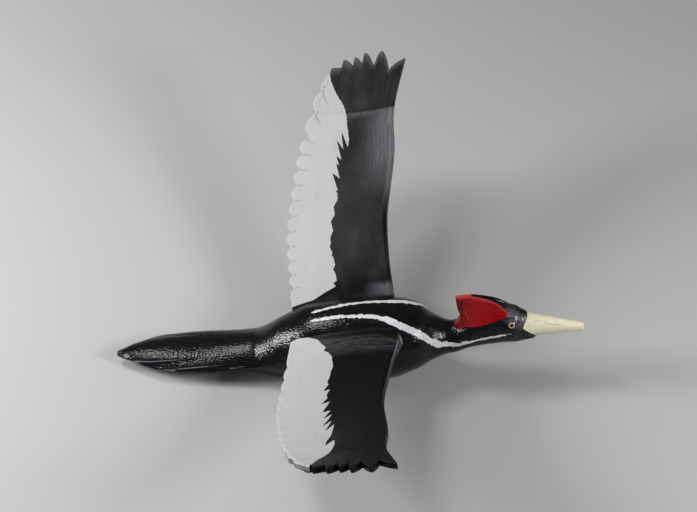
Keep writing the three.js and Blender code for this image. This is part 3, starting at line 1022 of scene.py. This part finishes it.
def wing_paint(place):
    names = ("along_wing", "across_wing", "above_wing", "white_wing", "knife_line")
    along, across, above, edge, knife = (place.measured(name) for name in names)
    laid_flat = place.node("CombineXYZ", {}, {"X": along, "Y": across})
    brush = laid_flat.stretched(BRUSH_MARKS).noise(1.0, 4.0)
    patches = laid_flat.stretched(THIN_PATCHES).noise(1.0, 3.0)
    strokes = laid_flat.stretched(STROKES_AT_ROOT).noise(1.0, 3.0).step(0.35, 0.7)
    white = (edge + (laid_flat.noise(RAGGED_WHITE, 3.0) - 0.5) * 1.5).step(-0.25, 0.25)
    on_left = place.axis(1).step(-0.001, 0.001)

    chord = across * (1 / CHORD)
    # On the left wing, a painted highlight just before the crease and painted shade in it
    at_crease = along - chord * chord * CREASE_LEAN
    crease_highlight = band(at_crease, (237, 245), (245.5, 247))
    crease_shade = band(at_crease, (246, 247.5), (248.5, 250.5)) * on_left * brush

    # The left wing's black is worn in patches, on the rim and at the root; at the front and the tip
    # it is lighter with a painted sheen
    before_crease = 1 - along.step(236, 250)
    front_sheen = (1 - across.step(4, 48)) * along.step(140, 205) * before_crease * 0.7
    rim_wear = (1 - across.step(1, 7)) * along.step(120, 160) * before_crease * 0.5
    root_wear = (1 - across.step(8, 34)) * band(along, (16, 24), (32, 42)) * 0.6
    tip_sheen = along.step(250, 262) * 0.08 + along.step(292, 301) * 0.45
    left_wear_and_sheen = patches.step(0.4, 0.75) * 0.12 + front_sheen + rim_wear + root_wear
    left_wear_and_sheen = (left_wear_and_sheen + crease_highlight * 0.35 + tip_sheen) * (brush * 2 - 0.1)
    # The right wing's black gets a painted highlight on the facet of its front edge and in a
    # streaky band at the root
    facet = (1 - across.step(1, 5)) * (1 - above.step(0.8, 0.98)) * (1 - along.step(70, 130))
    right_highlight = facet * 0.25 + band(along, (20, 28), (38, 50)) * strokes * 0.3
    lightening = (left_wear_and_sheen * (1 - crease_shade) * on_left).at_least(right_highlight * (1 - on_left))
    # Along the knife lines the black stays dark, as painted shade in the grooves
    black = (lightening * (1 - knife)).mixed(BLACK, WING_WORN_AND_SHEEN)
    # Painted highlights along the filler at the right wing's root
    black = filler_highlights(place).mixed(black, FILLER_HIGHLIGHT)

    thin = (brush * 0.6 + patches * 0.6).step(0.55, 1.0)
    whites = thin.mixed(WING_WHITE, WING_WHITE_THIN)
    whites = (knife.step(0.15, 0.8) * 0.75 + crease_shade * 0.3).mixed(whites, KNIFE_SHADE)
    # The white on the rim is greyer in patches towards the tip
    greyer_rim = (1 - above.step(0.7, 0.95)) * along.step(190, 260) * patches.step(0.3, 0.6)
    whites = greyer_rim.mixed(whites, RIM_GREY)
    return {
        "Base Color": white.mixed(black, whites),
        "Roughness": 0.3 + brush * 0.2 + patches * 0.1 + white * 0.1 + knife.step(0, 0.4) * 0.4,
        "Normal": brush.relief(0.25, BRUSH_HEIGHT),
    }


wing_finish = finish("wings_paint", {"Specular IOR Level": WING_GLOSS}, wing_paint)

# Node, side, edge of the white, set-back of the front edge, wedge of filler, depth of the carving
WINGS = (
    ("right_wing", -1, RIGHT_WHITE, 0, 4.5, 0.42),
    ("left_wing", 1, LEFT_WHITE, 4.8, 0, 1),
)
# No white on the underside, or on the rim up to this share of the way to the top
RIM_STAYS_BLACK_BELOW = 0.08
OUTSIDE_WHITE = -20

for name, side, outline, set_back, wedge, carved in WINGS:
    bm = wing_mesh(set_back, wedge, carved)
    bmesh.ops.scale(bm, verts=bm.verts, vec=(MM, side * MM, MM))
    wing = new_piece("painted_" + name, bm)
    along, across, above = (
        measure_of(wing.data, measure) for measure in ("along_wing", "across_wing", "above_wing")
    )
    inside = white_edge(outline, along, across)
    edge = np.where(above > RIM_STAYS_BLACK_BELOW, inside, OUTSIDE_WHITE)
    layer = wing.data.attributes.new("white_wing", "FLOAT", "POINT")
    layer.data.foreach_set("value", edge.astype(np.float32))
    wing.data.materials.append(wing_finish)
    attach(wing, "root")
    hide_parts(name)


# Bill
# A straight chisel of wood, let into the face and painted ivory, worn smooth, with a few fine
# cracks along the grain.

BILL_SEAT = 179
BILL_TIP = 248
BILL_AXIS = (72, 69.8)
BILL_HALF_WIDTH = (13.4, 4.4)
BILL_HALF_HEIGHT = (16.4, 5)
BILL_FULLNESS = 0.88
BILL_ROUND = 72
BILL_RINGS = 120
# Shares of the rings that close the bill inside the head and round off its tip
SEAT_CAP = 0.03
TIP_CAP = 0.05
TIP_BLUNTNESS = 2.6
TIP_LENGTH = 1.2
BILL_MARK_DEPTH = 0.1
BILL_MARK_SIZE = (30, 9)
IVORY = colour(0.93, 0.89, 0.67)
# Darker ivory for the grain, the smudge and painted shade
IVORY_GRAIN_AND_SHADE = colour(0.62, 0.56, 0.36)
CRACK = colour(0.16, 0.14, 0.09)
UPPER_CRACK = ((205.1, -5.5, 80.6), (213.8, -5.7, 78.3), (221.6, -5.0, 77.2))
LOWER_CRACK = ((221.5, -7.4, 71.1), (230.5, -6.3, 69.7))
SMUDGE = ((196.3, -5.4, 82.6), (200.3, -4.6, 82.2))
CRACK_WIDTH = 0.5
SMUDGE_WIDTH = 1.6
# Black from the chin is painted over the bill below a slanting line: its x, height and fall
CHIN_PAINT = (183, 77, 0.9)
# Painted shade: the bill is darkest below the first height and not darker above the second, in
# metres
BILL_SHADE_FADES = (0.066, 0.08)
GRAIN = (70, 700, 700)
GRAIN_HEIGHT = 0.0004
BILL_GLOSS = 0.35

bill_mesh = bmesh.new()
ball = bmesh.ops.create_uvsphere(bill_mesh, u_segments=BILL_ROUND, v_segments=BILL_RINGS, radius=1)
tip_from = 1 - TIP_CAP
for v in ball["verts"]:
    ring, across, up = on_ball(v)
    along = clamp((ring - SEAT_CAP) / (tip_from - SEAT_CAP))
    into_tip = max(0, (ring - tip_from) / TIP_CAP)
    fill = min(1, ring / SEAT_CAP) * math.sqrt(max(0, 1 - into_tip**TIP_BLUNTNESS))
    taper = along**BILL_FULLNESS
    v.co = (
        lerp(BILL_SEAT, BILL_TIP - TIP_LENGTH, along) + TIP_LENGTH * smoothstep(ring, tip_from, 1),
        fill * across * lerp(*BILL_HALF_WIDTH, taper),
        lerp(*BILL_AXIS, along) + fill * up * lerp(*BILL_HALF_HEIGHT, taper),
    )
    outwards = Vector((0, across, up))
    v.co += BILL_MARK_DEPTH * fill * outwards * tool_mark(v.co, *BILL_MARK_SIZE)
bmesh.ops.remove_doubles(bill_mesh, verts=bill_mesh.verts, dist=0.01)
bmesh.ops.scale(bill_mesh, verts=bill_mesh.verts, vec=(MM, MM, MM))
bill = new_piece("painted_bill", bill_mesh)


def bill_paint(place):
    grain = place.stretched(GRAIN).noise(1.0, 4.0)
    smudge = scratch(place, SMUDGE, SMUDGE_WIDTH)
    upper, lower = (scratch(place, crack, CRACK_WIDTH) for crack in (UPPER_CRACK, LOWER_CRACK))
    cracks = upper.at_least(lower)
    x, z = place.axis(0), place.axis(2)
    # Painted shade on the lower side of the bill
    shade = 1 - (z + grain * 0.004).step(*BILL_SHADE_FADES)
    colours = (grain.step(0.35, 0.8) * 0.5 + smudge * 0.45 + shade * 0.6).mixed(IVORY, IVORY_GRAIN_AND_SHADE)
    colours = (cracks * 0.8).mixed(colours, CRACK)
    start, height, fall = CHIN_PAINT
    above_chin = z * (1 / MM) - height + (x * (1 / MM) - start) * fall
    return {
        "Base Color": (above_chin + grain * 1.5).step(0.6, 1.1).mixed(BLACK, colours),
        "Roughness": 0.4 + grain * 0.15,
        "Normal": (grain - cracks).relief(0.3, GRAIN_HEIGHT),
    }


bill.data.materials.append(finish("bill_paint", {"Specular IOR Level": BILL_GLOSS}, bill_paint))
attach(bill, "root")
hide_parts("bill")


# Eyes
# Glossy buttons inset in the sides of the head, with a pale ring round a dark pupil.

EYE_RADIUS = 5
EYE_HALF_DEPTH = 2.4
EYE_CENTRE = Vector((170.4, 13.5, 84.6))
EYE_TILT = math.radians(28)
EYE_ROUND = 48
EYE_RINGS = 32
PUPIL_RADIUS = 2.0
RING_WIDTH = 1.3
RING_SOFTNESS = 0.2
MOTTLE = 1800.0
EYE_GLOSS = {"Roughness": 0.12, "Coat Weight": 0.6, "Coat Roughness": 0.05}
RING = colour(0.7, 0.65, 0.42)
RING_SHADE = colour(0.3, 0.26, 0.13)
PUPIL = colour(0.004, 0.004, 0.004)


def eye_paint(place):
    inner, outer = ((at - RING_SOFTNESS, at + RING_SOFTNESS) for at in (0, RING_WIDTH))
    ring = band(place.measured("from_pupil"), inner, outer)
    return {"Base Color": ring.mixed(PUPIL, place.noise(MOTTLE, 2.0).mixed(RING, RING_SHADE))}


eye_finish = finish("eye_gloss", EYE_GLOSS, eye_paint)
for side, name in ((1, "left_eye"), (-1, "right_eye")):
    eye_mesh = bmesh.new()
    bmesh.ops.create_uvsphere(eye_mesh, u_segments=EYE_ROUND, v_segments=EYE_RINGS, radius=1)
    pupil_layer = eye_mesh.verts.layers.float.new("from_pupil")
    for v in eye_mesh.verts:
        v[pupil_layer] = math.hypot(v.co.x, v.co.y) * EYE_RADIUS - PUPIL_RADIUS
    bmesh.ops.scale(eye_mesh, verts=eye_mesh.verts, vec=(EYE_RADIUS, EYE_RADIUS, EYE_HALF_DEPTH))
    facing = Matrix.Rotation(side * (EYE_TILT - math.pi / 2), 3, "X")
    bmesh.ops.rotate(eye_mesh, verts=eye_mesh.verts, matrix=facing)
    centre = EYE_CENTRE * Vector((1, side, 1))
    bmesh.ops.translate(eye_mesh, verts=eye_mesh.verts, vec=centre)
    bmesh.ops.scale(eye_mesh, verts=eye_mesh.verts, vec=(MM, MM, MM))
    eye = new_piece("inset_" + name, eye_mesh)
    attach(eye, "root")
    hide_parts(name)
    eye.data.materials.append(eye_finish)


# Floor and lights
# A plain pale floor that reaches past the view, and three soft lights: low on the tail's side,
# on the bill's side, and a weaker one above the tail.

FLOOR_SIZE = 12
FLOOR = colour(0.5, 0.5, 0.49)
FLOOR_CLOUD = colour(0.53, 0.53, 0.52)
SKY = colour(0.55, 0.56, 0.58)
SKY_STRENGTH = 0.2
# Name, place, what it points at, size and watts
SOFT_LIGHTS = (
    ("tail_side_light", (-1.3, 0.0, 0.68), (0, 0, 0.05), 0.4, 15.3),
    ("bill_side_light", (1.25, -0.65, 0.9), (0, 0, 0.05), 0.4, 14),
    ("overhead_light", (-0.75, 0.35, 1.4), (0, 0, 0), 0.45, 8),
)

floor_mesh = bmesh.new()
bmesh.ops.create_grid(floor_mesh, x_segments=1, y_segments=1, size=FLOOR_SIZE / 2)
floor = new_piece("floor", floor_mesh)


def floor_paint(place):
    return {"Base Color": place.noise(3.0, 3.0).mixed(FLOOR, FLOOR_CLOUD)}


floor.data.materials.append(finish("floor_paint", {"Roughness": 0.8}, floor_paint))


for name, place, aim, size, watts in SOFT_LIGHTS:
    data = bpy.data.lights.new(name, "AREA")
    data.shape = "RECTANGLE"
    data.size = data.size_y = size
    data.energy = watts
    light = bpy.data.objects.new(name, data)
    light.location = place
    light.rotation_euler = (Vector(aim) - Vector(place)).to_track_quat("-Z", "Y").to_euler()
    bpy.context.scene.collection.objects.link(light)

world = bpy.data.worlds.new("soft_surroundings")
bpy.context.scene.world = world
world.use_nodes = True
world.node_tree.nodes["Background"].inputs["Color"].default_value = SKY
world.node_tree.nodes["Background"].inputs["Strength"].default_value = SKY_STRENGTH
bpy.context.scene.view_settings.view_transform = "Standard"
